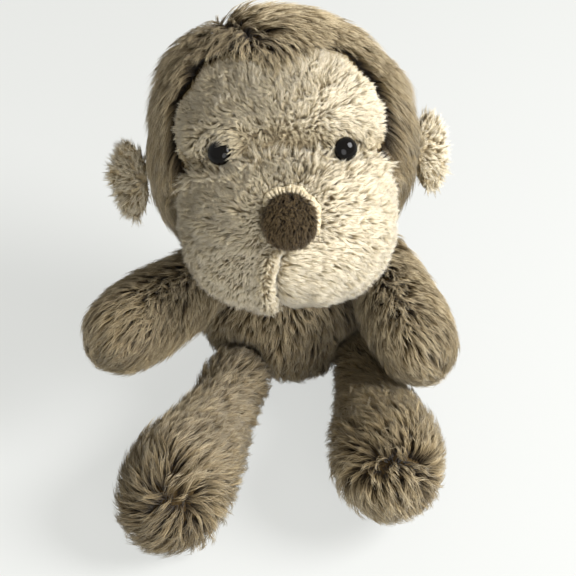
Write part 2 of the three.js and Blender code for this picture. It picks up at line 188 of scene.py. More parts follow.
# the filling presses the cover out; no point moves further than the cap
def stuff(obj, pressure, cap):
    before = meshArrays(obj.data)[0]
    cloth = obj.modifiers.new("cloth", "CLOTH")
    cloth.settings.quality = 4
    cloth.settings.mass = 0.15
    cloth.settings.tension_stiffness = 12
    cloth.settings.compression_stiffness = 8
    cloth.settings.use_pressure = True
    cloth.settings.uniform_pressure_force = pressure
    cloth.settings.effector_weights.gravity = 0
    cloth.collision_settings.use_collision = False
    for step in range(1, clothSteps + 1):
        scene.frame_set(step)
    settled(obj)
    scene.frame_set(1)
    move = meshArrays(obj.data)[0] - before
    size = np.linalg.norm(move, axis=1, keepdims=True)
    movePoints(obj, before + move * np.minimum(1, cap / np.maximum(size, 1e-9)))
    print(obj.name, "stuffed, cover moved up to", round(float(size.max()), 2), "mm")
    return obj


# cloth of a real thickness, on the inside of the skin
def lined(obj, thickness):
    wall = obj.modifiers.new("wall", "SOLIDIFY")
    wall.thickness = thickness * mm
    wall.offset = -1
    wall.use_rim = True
    settled(obj)
    obj.data.shade_smooth()


# materials

def newMaterial(name):
    material = bpy.data.materials.new(name)
    material.use_nodes = True
    nodes, links = material.node_tree.nodes, material.node_tree.links
    return material, nodes, links, nodes["Principled BSDF"]


def linear(rgb):
    return [((c / 255 + 0.055) / 1.055) ** 2.4 if c > 10 else c / 255 / 12.92 for c in rgb] + [1]


def ramp(nodes, stops):
    node = nodes.new("ShaderNodeValToRGB")
    while len(node.color_ramp.elements) < len(stops):
        node.color_ramp.elements.new(0.5)
    for element, (place, rgb) in zip(node.color_ramp.elements, stops):
        element.position = place
        element.color = linear(rgb)
    return node


# pile reads only its own map: across it lie the tufts' tints, up it lies the strand from root to tip
def pileMaterial(name, root, middle, tip, spread, roughness, sheen):
    material, nodes, links, shader = newMaterial(name)
    place = nodes.new("ShaderNodeUVMap")
    place.uv_map = "OFBake"
    parts = nodes.new("ShaderNodeSeparateXYZ")
    links.new(place.outputs["UV"], parts.inputs[0])
    along = ramp(nodes, [(0.12, root), (0.55, middle), (0.95, tip)])
    links.new(parts.outputs["Y"], along.inputs["Fac"])
    tint = nodes.new("ShaderNodeMapRange")
    tint.inputs["To Min"].default_value = 1 - spread
    tint.inputs["To Max"].default_value = 1 + spread
    links.new(parts.outputs["X"], tint.inputs["Value"])
    shade = nodes.new("ShaderNodeVectorMath")
    shade.operation = "SCALE"
    links.new(along.outputs["Color"], shade.inputs[0])
    links.new(tint.outputs["Result"], shade.inputs["Scale"])
    links.new(shade.outputs["Vector"], shader.inputs["Base Color"])
    shader.inputs["Roughness"].default_value = roughness
    shader.inputs["Specular IOR Level"].default_value = 0.25
    shader.inputs["Sheen Weight"].default_value = sheen
    shader.inputs["Sheen Roughness"].default_value = 0.4
    return material


# knitted backing that the pile grows from, seen only where the pile parts
def backingMaterial(name, dark, light):
    material, nodes, links, shader = newMaterial(name)
    place = nodes.new("ShaderNodeTexCoord")
    grain = nodes.new("ShaderNodeTexNoise")
    grain.inputs["Scale"].default_value = 900
    grain.inputs["Detail"].default_value = 4
    links.new(place.outputs["Object"], grain.inputs["Vector"])
    tones = ramp(nodes, [(0.3, dark), (0.7, light)])
    links.new(grain.outputs["Fac"], tones.inputs["Fac"])
    links.new(tones.outputs["Color"], shader.inputs["Base Color"])
    bump = nodes.new("ShaderNodeBump")
    bump.inputs["Strength"].default_value = 0.6
    bump.inputs["Distance"].default_value = 0.0006
    links.new(grain.outputs["Fac"], bump.inputs["Height"])
    links.new(bump.outputs["Normal"], shader.inputs["Normal"])
    shader.inputs["Roughness"].default_value = 0.95
    shader.inputs["Specular IOR Level"].default_value = 0.1
    return material


brown = {
    "root": (46, 34, 18), "middle": (141, 124, 91), "tip": (205, 190, 157),
    "spread": 0.38, "roughness": 0.5, "sheen": 0.12,
}
cream = {
    "root": (148, 129, 93), "middle": (214, 201, 169), "tip": (244, 236, 216),
    "spread": 0.14, "roughness": 0.55, "sheen": 0.12,
}
dark = {
    "root": (30, 22, 12), "middle": (80, 65, 42), "tip": (126, 107, 75),
    "spread": 0.25, "roughness": 0.5, "sheen": 0.08,
}
brownPile = pileMaterial("brownPile", **brown)
creamPile = pileMaterial("creamPile", **cream)
darkPile = pileMaterial("darkPile", **dark)
brownBacking = backingMaterial("brownBacking", (50, 39, 23), (82, 67, 43))
creamBacking = backingMaterial("creamBacking", (142, 127, 97), (190, 176, 145))
darkBacking = backingMaterial("darkBacking", (18, 13, 7), (36, 28, 16))
fibreFill = backingMaterial("fibreFill", (205, 202, 192), (238, 236, 228))
pouchCloth = backingMaterial("pouchCloth", (150, 142, 122), (186, 178, 158))


# pile: locks of strands that creep over the skin the way they are combed, and close up towards their tips

def surfaceFrom(points, corners):
    tree = BVHTree.FromPolygons(points.tolist(), corners.tolist())
    return {"points": points, "corners": corners, "normals": vertexNormals(points, corners), "tree": tree}


def surfaceOf(obj):
    return surfaceFrom(*meshArrays(obj.data))


# the nearest places on a surface, and the smooth normals there
def onto(surface, places):
    found = [surface["tree"].find_nearest(place) for place in places.tolist()]
    spot = np.array([hit[0] for hit in found])
    corner = surface["corners"][[hit[2] for hit in found]]
    a, b, c = (surface["points"][corner[:, i]] for i in range(3))
    whole = np.cross(b - a, c - a)
    size = np.maximum((whole * whole).sum(1), 1e-12)
    toB = (np.cross(spot - a, c - a) * whole).sum(1) / size
    toC = (np.cross(b - a, spot - a) * whole).sum(1) / size
    share = np.stack([1 - toB - toC, toB, toC], 1)[:, :, None]
    return spot, unit((surface["normals"][corner] * share).sum(1))


triesPerCell = 6
cellBits = 14  # room for the count of cells along each axis
cellMiddle = 4096  # keeps the counts above nothing


# places spread over a surface, one at most in each cell of a grid
def scatter(surface, spacing, rng):
    points, corners, normals = surface["points"], surface["corners"], surface["normals"]
    a, b, c = (points[corners[:, i]] for i in range(3))
    area = np.linalg.norm(np.cross(b - a, c - a), axis=1) / 2
    count = int(area.sum() / spacing ** 2 * triesPerCell)
    pick = rng.choice(len(corners), count, p=area / area.sum())
    s, t = rng.random(count), rng.random(count)
    s, t = np.where(s + t > 1, 1 - s, s), np.where(s + t > 1, 1 - t, t)
    share = np.stack([1 - s - t, s, t], 1)[:, :, None]
    place = (points[corners[pick]] * share).sum(1)
    normal = unit((normals[corners[pick]] * share).sum(1))
    cell = np.floor(place / spacing).astype(np.int64) + cellMiddle
    key = (cell[:, 0] << 2 * cellBits) + (cell[:, 1] << cellBits) + cell[:, 2]
    first = np.unique(key, return_index=True)[1]
    first.sort()
    return place[first], normal[first]


# from the nearest place on a line to each point
def besideLine(points, start, end):
    start, end = np.asarray(start, float), np.asarray(end, float)
    span = end - start
    share = np.clip((points - start) @ span / max(span @ span, 1e-9), 0, 1)
    return points - start - share[:, None] * span


tintColumns = 32
mostFaces = 190000  # a piece of pile is split beyond this

# what the locks of every pile share
lock = {
    "heights": (0.7, 1.08), "swell": 0.2, "partingArch": 0.8, "partingMess": 0.3, "spread": 0.62,
    "ends": (0.68, 1), "lowest": 0.4, "lowestSpread": 0.5, "closing": 1.2, "bends": 4,
    "widths": (0.8, 1.2), "taper": 0.6, "taperPower": 1.5,
    "tint": 0.2, "swellTint": 0.14, "strandTint": 0.08, "mapLow": 0.02, "mapSpan": 0.96,
}


# how far each lock runs, how high it stands, where it strays and how it arches
def lockForms(root, swell, pile, rng):
    count = len(root)
    run = pile["run"] * rng.uniform(1 - pile["uneven"], 1 + pile["uneven"], count)
    high = pile["high"] * rng.uniform(*lock["heights"], count) * (1 + lock["swell"] * swell[:, 0])
    if "shape" in pile:
        runShare, highShare = pile["shape"](root)
        run *= runShare
        high *= highShare
    stray = pile["stray"] * wander(root, pile["clump"], pile["seed"] + 1)
    stray += rng.normal(0, pile["mess"], root.shape)
    arch = np.full(count, float(pile["arch"]))
    if "rise" in pile:
        arch *= pile["rise"](root)
    if "parting" in pile:
        gap = np.linalg.norm(besideLine(root, *pile["parting"]), axis=1)
        near = np.exp(-(gap / pile["fill"]) ** 2)
        run *= 1 - pile["cut"] * near  # short and upright at the parting, so that no skin shows there
        arch *= 1 + lock["partingArch"] * near
        stray += rng.normal(0, lock["partingMess"], root.shape) * near[:, None]
    return run, high, stray, arch


# the middle line of each lock, which follows the skin or goes straight on, with its ups, sides and ways
def lockLines(surface, root, normal, comb, pile, forms):
    run, high, stray, arch = forms
    straight = pile["straight"](root) if "straight" in pile else np.zeros(len(root), bool)
    steps = pile["rings"] + 1
    here, up = root, normal
    line, ups, sides, ways = [], [], [], []
    for i in range(steps + 1):
        way = comb(here, up) + stray
        way = unit(way - up * (way * up).sum(1, keepdims=True))
        rise = pile["base"] + high * (1 - (1 - i / steps) ** arch)
        line.append(here + up * rise[:, None])
        ups.append(up)
        ways.append(way)
        sides.append(np.cross(up, way))
        if i < steps:
            ahead = here + way * (run / steps)[:, None]
            here, bent = onto(surface, ahead)
            here[straight] = ahead[straight]
            up = np.where(straight[:, None], up, bent)
    return [np.stack(part, 1) for part in (line, ups, sides, ways)]


# each strand's path beside the middle line of its lock, from root to tip and never below the floor
def strandPaths(lines, tuft, pile, rng):
    line, ups, sides, ways = lines
    total = len(tuft)
    rings = pile["rings"]
    steps = rings + 1
    reach = pile["spacing"] * lock["spread"] * np.sqrt(rng.random(total))
    turn = rng.uniform(0, 2 * math.pi, total)
    across, along = np.cos(turn) * reach, np.sin(turn) * reach
    loft = pile["loft"] * rng.random(total)
    end = rng.uniform(*lock["ends"], total)
    sway = rng.normal(0, pile["wave"], total)
    phase = rng.uniform(0, 2 * math.pi, total)
    lowest = lock["lowest"] + lock["lowestSpread"] * rng.random(total)
    paths = []
    for k in range(rings + 1):
        place = end * k / rings * steps
        low = np.minimum(place.astype(int), steps - 1)
        part = (place - low)[:, None]
        spot = line[tuft, low] * (1 - part) + line[tuft, low + 1] * part
        near = 1 - pile["gather"] * (k / rings) ** lock["closing"]
        aside = across * near + sway * np.sin(phase + lock["bends"] * end * k / rings) * (k / rings)
        spot = spot + sides[tuft, low] * aside[:, None] + ways[tuft, low] * along[:, None]
        spot = spot + ups[tuft, low] * (loft * k / rings)[:, None]
        spot[:, 2] = np.maximum(spot[:, 2], lowest)
        paths.append(spot)
    return paths


# a three-sided tube along each path, which tapers to a point
def strandTubes(paths, ups, tuft, pile, rng):
    rings = pile["rings"]
    width = pile["width"] * rng.uniform(*lock["widths"], len(tuft))
    rows = []
    for k in range(rings):
        way = unit(paths[k + 1] - paths[k])
        side = unit(np.cross(ups[tuft, k], way))
        top = np.cross(way, side)
        wide = width * (1 - lock["taper"] * (k / rings) ** lock["taperPower"]) / 2
        for i in range(3):
            bend = 2 * math.pi * i / 3
            rows.append(paths[k] + (side * math.cos(bend) + top * math.sin(bend)) * wide[:, None])
    rows.append(paths[rings])
    return np.stack(rows, 1)


def tubeFaces(rings):
    tris = [(0, 2, 1)]
    for k in range(rings - 1):
        for i in range(3):
            j = (i + 1) % 3
            tris.append((3 * k + i, 3 * k + j, 3 * k + 3 + j))
            tris.append((3 * k + i, 3 * k + 3 + j, 3 * k + 3 + i))
    last = 3 * rings - 3
    for i in range(3):
        tris.append((last + i, last + (i + 1) % 3, 3 * rings))
    return np.array(tris)


def growPile(name, body, surface, pile, comb, material, keep=None):
    rng = np.random.default_rng(pile["seed"])
    root, normal = scatter(surface, pile["spacing"], rng)
    if keep is not None:
        stay = keep(root, normal)
        root, normal = root[stay], normal[stay]
    swell = wander(root, pile["clump"], pile["seed"] + 2)
    lines = lockLines(surface, root, normal, comb, pile, lockForms(root, swell, pile, rng))
    count = len(root)
    total = count * pile["strands"]
    tuft = np.repeat(np.arange(count), pile["strands"])
    strand = strandTubes(strandPaths(lines, tuft, pile, rng), lines[1], tuft, pile, rng)

    # across the map lies each strand's tint, up it the strand from root to tip
    rings = pile["rings"]
    tris = tubeFaces(rings)
    alongStrand = np.append(np.repeat(np.arange(rings) / rings, 3), 1.0)
    tint = 0.5 + rng.normal(0, lock["tint"], count) + lock["swellTint"] * swell[:, 1]
    column = np.clip(tint[tuft] + rng.normal(0, lock["strandTint"], total), 0, 0.999)
    column = (np.floor(column * tintColumns) + 0.5) / tintColumns
    # a pile may take more of its root colour in places: painted shade that darkens its strands there
    bright = pile["bright"](root)[tuft] if "bright" in pile else np.ones(total)
    mapUp = (alongStrand[tris] * lock["mapSpan"] + lock["mapLow"])[None]

    perStrand = strand.shape[1]
    mostStrands = mostFaces // len(tris)
    for part, start in enumerate(range(0, total, mostStrands)):
        some = strand[start:start + mostStrands]
        faces = (tris[None] + (np.arange(len(some)) * perStrand)[:, None, None]).reshape(-1, 3)
        label = name + ("" if total <= mostStrands else "_" + str(part + 1))
        mesh = newMesh(label, some.reshape(-1, 3), faces)
        uv = np.zeros((len(some), len(tris), 3, 2), np.float32)
        uv[..., 0] = column[start:start + mostStrands, None, None]
        uv[..., 1] = mapUp * bright[start:start + mostStrands, None, None]
        mesh.uv_layers.new(name="OFBake").uv.foreach_set("vector", uv.ravel())
        mesh.materials.append(material)
        obj = newObject(label, mesh)
        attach(obj, body)
    print(name, "locks:", count, "strands:", total, "faces:", total * len(tris))


def coverPiece(obj, body, material, nodes):
    obj.data.materials.clear()
    obj.data.materials.append(material)
    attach(obj, body)
    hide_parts(*nodes)


# combed away from a line on the skin, along it close by, and round it by the swirl
def awayFrom(start, end, soft=0.0, swirl=0.0):
    ahead = unit(np.asarray(start, float) - np.asarray(end, float)) * soft

    def comb(points, normals):
        beside = besideLine(points, start, end)
        way = (beside + ahead) / (np.linalg.norm(beside, axis=1, keepdims=True) + soft + 1e-9)
        return way + swirl * np.cross(normals, way)

    return comb


# trunk
trunk = {
    "voxel": 4, "inset": 6, "pressure": 3, "cap": 1.5, "wall": 0.5, "fill": 0.7, "outward": 0.25,
    "underHead": 0.72, "seatFacing": -0.9,
    "holes": {"left_arm": 15, "right_arm": 15, "left_leg": 17, "right_leg": 17},
}
trunkPile = {
    "seed": 11, "spacing": 2.2, "strands": 7, "rings": 3, "run": 10, "uneven": 0.3, "high": 6.5,
    "base": -0.6, "arch": 2.0, "loft": 1.6, "stray": 0.35, "mess": 0.22, "clump": 15, "wave": 0.6,
    "gather": 0.45, "width": 0.33,
}


def trunkComb(points, normals):
    way = np.zeros_like(points)
    way[:, 2] = -1
    way[:, :2] += trunk["outward"] * unit(points[:, :2])
    return way


# none inside the head, under the seat or inside the limbs' joints
def trunkKeep(points, normals):
    stay = (skullShare(inHead(points)) > trunk["underHead"]) & (normals[:, 2] > trunk["seatFacing"])
    for name, hole in trunk["holes"].items():
        stay &= np.linalg.norm(points - jointPlaces[name], axis=1) > hole
    return stay


trunkNodes = ["body_cover", "body_stuffing", "seat_pouch", "neck_stuffing"]
trunkSkin = drawnIn("trunkCover", trunkNodes, trunk["voxel"], trunk["inset"])
stuff(trunkSkin, trunk["pressure"], trunk["cap"])
trunkSurface = surfaceOf(trunkSkin)
growPile("trunkPile", "torso", trunkSurface, trunkPile, trunkComb, brownPile, trunkKeep)
lined(trunkSkin, trunk["wall"])
coverPiece(trunkSkin, "torso", brownBacking, ["body_cover"])

# limbs: a leg's pile parts on its foot and runs from there back along it, an arm's falls from the shoulder
limb = {
    "voxel": 4, "inset": 6, "pressure": 3, "cap": 1.5, "wall": 0.5, "fill": 0.75, "bare": 9,
    "fallInset": 2.5, "fallShort": 0.3, "fallOut": 0.5, "toeAhead": (-128, -152), "toeLow": (40, 24),
}
limbs = {
    "left_arm": {"parting": [(44, -6, 66), (46, -10, 64)], "swirl": 0, "fall": 0.8, "toe": 0},
    "right_arm": {"parting": [(-44, -6, 66), (-46, -10, 64)], "swirl": 0, "fall": 0.8, "toe": 0},
    "left_leg": {"parting": [(15, -148, 55), (33, -148, 54)], "swirl": 0.45, "fall": 0, "toe": 0},
    "right_leg": {"parting": [(-80, -146, 47), (-71, -150, 42)], "swirl": -0.45, "fall": 0, "toe": 0.5},
}
limbPile = {
    "spacing": 2, "strands": 7, "rings": 3, "run": 16, "uneven": 0.4, "high": 7.6,
    "base": -0.6, "arch": 2.4, "loft": 2, "stray": 0.35, "mess": 0.22, "clump": 13, "wave": 1.1,
    "gather": 0.68, "width": 0.315, "fill": 6, "cut": 0.65,
}


def makeLimb(name, own, seed):
    hub = jointPlaces[name]
    nodes = [name + "_cover", name + "_stuffing", joints[name]["parent"] + "_stuffing"]
    inset = limb["inset"] - limb["fallInset"] * own["fall"]
    skin = stuff(drawnIn(name + "_skin", nodes, limb["voxel"], inset), limb["pressure"], limb["cap"])
    parted = awayFrom(*own["parting"], swirl=own["swirl"])
    outward = np.array((limb["fallOut"] * np.sign(hub[0]), 0, -1)) * own["fall"]

    def keep(points, normals):
        return np.linalg.norm(points - hub, axis=1) > limb["bare"]

    def comb(points, normals):
        return parted(points, normals) + outward

    def shape(points):
        toe = ease(*limb["toeAhead"], points[:, 1]) * ease(*limb["toeLow"], points[:, 2])
        return 1, 1 - limb["fallShort"] * own["fall"] + own["toe"] * toe

    pile = dict(limbPile, seed=seed, parting=own["parting"], shape=shape)
    growPile(name + "_pile", name, surfaceOf(skin), pile, comb, brownPile, keep)
    lined(skin, limb["wall"])
    coverPiece(skin, name, brownBacking, [name + "_cover"])


for seed, (name, own) in enumerate(limbs.items(), 21):
    makeLimb(name, own, seed)
print("trunk and limbs made")

# head: hood and face panel share one skin, parted along the face's outline
headForm = {
    "voxel": 4, "inset": 6, "pressure": 3, "cap": 1.2, "wall": 0.5, "fill": 0.8,
    "faceUp": 2, "eyeUp": 3.4, "eyeSwell": (3.2, 1.7), "tuck": 9, "tuckFrom": (0.95, 0.7),
    "hoodUnderFace": 2, "hoodInMuzzle": -6, "faceOverHood": 1, "faceInMuzzle": -16,
}
faceOutline = [
    (0, 43), (9, 47), (21, 50), (33, 45), (45, 30), (49, 18),
    (48, 6), (43.5, -4), (39, -12), (32, -21), (21, -24), (0, -25),
]
faceLine = np.array(faceOutline + [(-x, z) for x, z in faceOutline[-2:0:-1]], float)
behindFace = -99
muzzleForm = {"middle": (0, -33, -31), "half": (54, 37, 46), "square": 2.5}


# how far inside the face's outline a point lies, and less than nothing outside it
def faceDepth(points):
    own = inHead(points)
    x, z = own[:, 0], own[:, 2]
    inside = np.zeros(len(x), bool)
    near = np.full(len(x), 1e9)
    for (ax, az), (bx, bz) in zip(faceLine, np.roll(faceLine, -1, 0)):
        crosses = (az > z) != (bz > z)
        slope = ax + (bx - ax) * (z - az) / (bz - az if abs(bz - az) > 1e-9 else 1e-9)
        inside ^= crosses & (x < slope)
        share = ((x - ax) * (bx - ax) + (z - az) * (bz - az)) / ((bx - ax) ** 2 + (bz - az) ** 2)
        share = np.clip(share, 0, 1)
        near = np.minimum(near, np.hypot(x - ax - share * (bx - ax), z - az - share * (bz - az)))
    return np.where(inside & (own[:, 1] < 0), near, np.where(own[:, 1] < 0, -near, behindFace))


# one on the muzzle's outside, less inside it
def muzzleShare(points, grow=0.0):
    own = inHead(points) - np.array(muzzleForm["middle"])
    x, y, z = (np.abs(own[:, i]) / (muzzleForm["half"][i] + grow) for i in range(3))
    n = muzzleForm["square"]
    return (x ** n + z ** n) ** (2 / n) + y ** 2


def inMuzzle(points, grow=0.0):
    return muzzleShare(points, grow) < 1


eyeForm = {"places": [(-29, -53, 8), (29, -54, 4.5)], "oval": (6.1, 6.8)}
eyePlaces = fromHead(eyeForm["places"])


# one at the edge of the oval that the pile leaves open for an eye
def eyeRing(points, place):
    off = (points - place) @ headTurn
    return np.hypot(off[:, 0] / eyeForm["oval"][0], off[:, 2] / eyeForm["oval"][1])


headNodes = ["hood", "face_panel", "head_stuffing"]
headSkin = drawnIn("headSkin", headNodes, headForm["voxel"], headForm["inset"])
stuff(headSkin, headForm["pressure"], headForm["cap"])
headSurface = surfaceOf(headSkin)
bpy.data.objects.remove(headSkin)

# the face's cloth stands a little above the hood's, swells round the eyes and turns in under the muzzle
nearEye = np.minimum(*(eyeRing(headSurface["points"], place) for place in eyePlaces))
faceUp = headForm["faceUp"] + headForm["eyeUp"] * ease(*headForm["eyeSwell"], nearEye)
faceUp -= headForm["tuck"] * ease(*headForm["tuckFrom"], muzzleShare(headSurface["points"]))
facePoints = headSurface["points"] + headSurface["normals"] * faceUp[:, None]
faceSurface = surfaceFrom(facePoints, headSurface["corners"])


def partOf(name, surface, chosen):
    points, corners = surface["points"], surface["corners"]
    faces = corners[chosen(points[corners].mean(1))]
    used, back = np.unique(faces, return_inverse=True)
    return newObject(name, newMesh(name, points[used], back.reshape(-1, 3)))


def hoodArea(points):
    return (faceDepth(points) < headForm["hoodUnderFace"]) & ~inMuzzle(points, headForm["hoodInMuzzle"])


def faceArea(points):
    return (faceDepth(points) > -headForm["faceOverHood"]) & ~inMuzzle(points, headForm["faceInMuzzle"])


hoodSkin = partOf("hoodCover", headSurface, hoodArea)
faceSkin = partOf("facePanel", faceSurface, faceArea)

hood = {
    "sidesFrom": (10, 45), "sidesBelow": (50, 20), "fall": 0.9, "flare": 0.3,
    "frontFrom": (-26, -4), "frontAbove": (15, 35), "frontTurns": (-12, 8), "frontRight": 0.25,
    "frontLeft": 0.55, "forward": 0.9, "dip": 0.4,
    "neckBare": 25, "edge": 0.5, "fringeAbove": (20, 40), "inMuzzle": -3,
    "edgeFrom": 11, "edgeWide": 25, "edgeRun": 0.45, "edgeLow": 0.2, "fullWide": 15,
    "full": ((122, 0.5), (36, 0.3), (156, -0.35)),
}
hoodPile = {
    "seed": 31, "spacing": 2, "strands": 7, "rings": 3, "run": 23, "uneven": 0.25, "high": 8.2,
    "base": -0.6, "arch": 2.6, "loft": 2, "stray": 0.24, "mess": 0.16, "clump": 20, "wave": 0.9,
    "gather": 0.55, "width": 0.315, "fill": 4, "cut": 0.45,
    "parting": [fromHead((-9, -30, 59)), fromHead((-24, 10, 63))],
}
hoodParting = awayFrom(*hoodPile["parting"], soft=4)


# parted on top, falling at the sides and swept forward over the brow
def hoodComb(points, normals):
    own = inHead(points)
    sides = ease(*hood["sidesFrom"], np.abs(own[:, 0])) * ease(*hood["sidesBelow"], own[:, 2])
    fall = -hood["fall"] * headTurn[:, 2] + hood["flare"] * np.sign(own[:, :1]) * headTurn[:, 0]
    front = ease(*hood["frontFrom"], faceDepth(points)) * ease(*hood["frontAbove"], own[:, 2])
    front *= hood["frontRight"] + hood["frontLeft"] * ease(*hood["frontTurns"], own[:, 0])
    forward = -hood["forward"] * headTurn[:, 1] - hood["dip"] * headTurn[:, 2]
    return hoodParting(points, normals) + sides[:, None] * fall + front[:, None] * forward


def hoodKeep(points, normals):
    own = inHead(points)
    neck = np.linalg.norm(own - np.array(headPlace["seat"]), axis=1) > hood["neckBare"]
    fringe = ease(*hood["fringeAbove"], own[:, 2])
    return neck & (faceDepth(points) < -hood["edge"] - fringe) & ~inMuzzle(points, hood["inMuzzle"])


# shorter towards the face, and fuller or thinner at some bearings, counted from the left ear over the top
def hoodShape(points):
    own = inHead(points)
    top = ease(*hood["frontAbove"], own[:, 2])
    toEdge = np.clip((hood["edgeFrom"] - faceDepth(points)) / hood["edgeWide"], hood["edgeRun"], 1)
    bearing = np.degrees(np.arctan2(own[:, 2], own[:, 0]))
    full = sum(much * np.exp(-((bearing - at) / hood["fullWide"]) ** 2) for at, much in hood["full"])
    return 1 - top * (1 - toEdge), (1 - hood["edgeLow"] * top * (1 - toEdge)) * (1 + full)


hoodPile["shape"] = hoodShape
growPile("hoodPile", "head", headSurface, hoodPile, hoodComb, brownPile, hoodKeep)
lined(hoodSkin, headForm["wall"])
coverPiece(hoodSkin, "head", brownBacking, ["hood"])

face = {
    "leanFrom": (2.2, 1.4), "leanOver": 0.3, "leanSide": 0.7, "lean": 1.6, "rise": 1.1,
    "creaseFrom": (1.4, 1.05), "creasePaintedShade": 0.55, "creaseShort": 0.4, "creaseLow": 0.6,
    "rim": (1, 9), "rimRun": 0.35, "rimHigh": 0.7, "eyeShort": 0.45, "eyeHigh": 0.6,
    "edge": 0.5, "browEdge": 3, "browAbove": (20, 40), "inMuzzle": -12,
}
facePile = {
    "seed": 32, "spacing": 1.14, "strands": 8, "rings": 2, "run": 6.5, "uneven": 0.3, "high": 5,
    "base": -0.4, "arch": 1.7, "loft": 1, "stray": 0.7, "mess": 0.32, "clump": 10, "wave": 0.4,
    "gather": 0.3, "width": 0.2, "fill": 8, "cut": 0.65,
    "parting": [fromHead((-4, -57, 12)), fromHead((12, -56, 20))],
}


# strands close to an eye lean over its edge, and most at its sides
def towardEyes(points):
    lean, near = np.zeros_like(points), np.zeros(len(points))
    for place in eyePlaces:
        off = unit(place - points)
        beside = face["leanOver"] + face["leanSide"] * (off @ headTurn[:, 0]) ** 2
        much = ease(*face["leanFrom"], eyeRing(points, place)) * beside
        lean += much[:, None] * off
        near += much
    return lean, near


faceSwirl = awayFrom(*facePile["parting"])


def faceComb(points, normals):
    return faceSwirl(points, normals) + face["lean"] * towardEyes(points)[0]


# one in the crease along the muzzle's top edge
def muzzleCrease(points):
    return ease(*face["creaseFrom"], muzzleShare(points)) * (1 - np.minimum(towardEyes(points)[1], 1))


def faceShape(points):
    rim = ease(*face["rim"], faceDepth(points))
    eyes = towardEyes(points)[1]
    crease = muzzleCrease(points)
    run = (face["rimRun"] + (1 - face["rimRun"]) * rim) * (1 - face["eyeShort"] * eyes)
    high = (face["rimHigh"] + (1 - face["rimHigh"]) * rim) * (1 + face["eyeHigh"] * eyes)
    return run * (1 - face["creaseShort"] * crease), high * (1 - face["creaseLow"] * crease)


def faceKeep(points, normals):
    over = face["edge"] + face["browEdge"] * ease(*face["browAbove"], inHead(points)[:, 2])
    stay = (faceDepth(points) > over) & ~inMuzzle(points, face["inMuzzle"])
    for place in eyePlaces:
        stay &= eyeRing(points, place) > 1
    return stay


facePile["shape"] = faceShape
# strands in the crease along the muzzle's top edge take more of the root colour: painted shade in the crease
facePile["bright"] = lambda points: 1 - face["creasePaintedShade"] * muzzleCrease(points)
facePile["rise"] = lambda points: 1 + face["rise"] * towardEyes(points)[1]
growPile("facePile", "head", faceSurface, facePile, faceComb, creamPile, faceKeep)
lined(faceSkin, headForm["wall"])
coverPiece(faceSkin, "head", creamBacking, ["face_panel"])
print("head made")

# muzzle: two lobes that meet in a sewn fold under the nose
muzzle = {
    "voxel": 1.6, "inset": 4.5, "smooth": 12, "pressure": 3, "cap": 1, "wall": 0.5, "fill": 0.85,
    "topShare": 1.14, "topAbove": -8, "tuftWave": 7, "tuftSeed": 43, "tuftMean": 0.35, "tuftSwing": 0.5,
    "tuftEnds": (-0.05, 0.9), "crestFrom": (1.1, 0.95), "crestShort": 0.3, "crestHigh": 0.2,
    "ringFrom": (1.05, 1.5), "ringRun": 0.5, "ringHigh": 0.6, "noseBare": 0.92, "noseFront": -50,
    "noseLow": -36.5, "backShare": 0.86, "backFacing": 0.3, "insideShare": 0.7, "eyeBare": 0.85, "lean": 1.5,
}
muzzlePile = {
    "seed": 41, "spacing": 1.21, "strands": 8, "rings": 2, "run": 6.5, "uneven": 0.3, "high": 5.4,
    "base": -0.4, "arch": 1.7, "loft": 1, "stray": 0.6, "mess": 0.3, "clump": 10, "wave": 0.4,
    "gather": 0.3, "width": 0.22,
}
fold = {
    "down": (36, 41, 50, 61, 73, 85), "x": (-3, -7, -10, -11, -8, -6),
    "starts": (-34, -39), "front": (-20, -40),
    "ridge": 5, "ridgeAt": -2.2, "ridgeWide": 3.4, "dip": 7.5, "dipWide": 3.6,
    "chinFrom": (-76, -62), "chinShare": 0.3, "combFrom": (-30, -42), "combAside": 0.95, "combUp": 0.3,
    "leftTo": (40, 18), "leftPull": 2.2, "overFrom": (-5, -1), "overPull": 0.7,
    "dottedFrom": (-42, -26), "dottedShort": 0.7, "edgeAt": -1.5, "edgeWide": 2.5, "edgeLow": 0.5,
    "flatTo": (25, 8), "flatLong": 0.5, "flatLow": 0.4,
}
noseSpot = {"middle": (0, -71, -24), "half": (13.5, 14)}
noseMiddle = fromHead(noseSpot["middle"])


# how far to the toy's left of the fold a point lies, and how much the fold shows there
def foldSide(own):
    beside = own[:, 0] - np.interp(-own[:, 2], fold["down"], fold["x"])
    return beside, ease(*fold["starts"], own[:, 2]) * ease(*fold["front"], own[:, 1])


# one at the edge of the nose
def noseRing(own):
    down = own[:, 2] - noseSpot["middle"][2]
    return np.hypot(own[:, 0] / noseSpot["half"][0], down / noseSpot["half"][1])


muzzleNodes = ["muzzle_cover", "muzzle_stuffing"]
muzzleSkin = drawnIn("muzzleCover", muzzleNodes, muzzle["voxel"], muzzle["inset"], muzzle["smooth"])
stuff(muzzleSkin, muzzle["pressure"], muzzle["cap"])

# the right lobe swells into a ridge at the fold and the left one dips under it, less so at the chin
muzzlePoints, muzzleCorners = meshArrays(muzzleSkin.data)
beside, shows = foldSide(inHead(muzzlePoints))
ridge = fold["ridge"] * np.exp(-((beside - fold["ridgeAt"]) / fold["ridgeWide"]) ** 2)
dip = fold["dip"] * np.exp(-(beside / fold["dipWide"]) ** 2)
chin = ease(*fold["chinFrom"], inHead(muzzlePoints)[:, 2])
lobe = np.where(beside < 0, ridge, -dip) * shows * (fold["chinShare"] + (1 - fold["chinShare"]) * chin)
muzzlePoints += vertexNormals(muzzlePoints, muzzleCorners) * lobe[:, None]
movePoints(muzzleSkin, muzzlePoints)
fromNose = awayFrom(noseMiddle, noseMiddle)


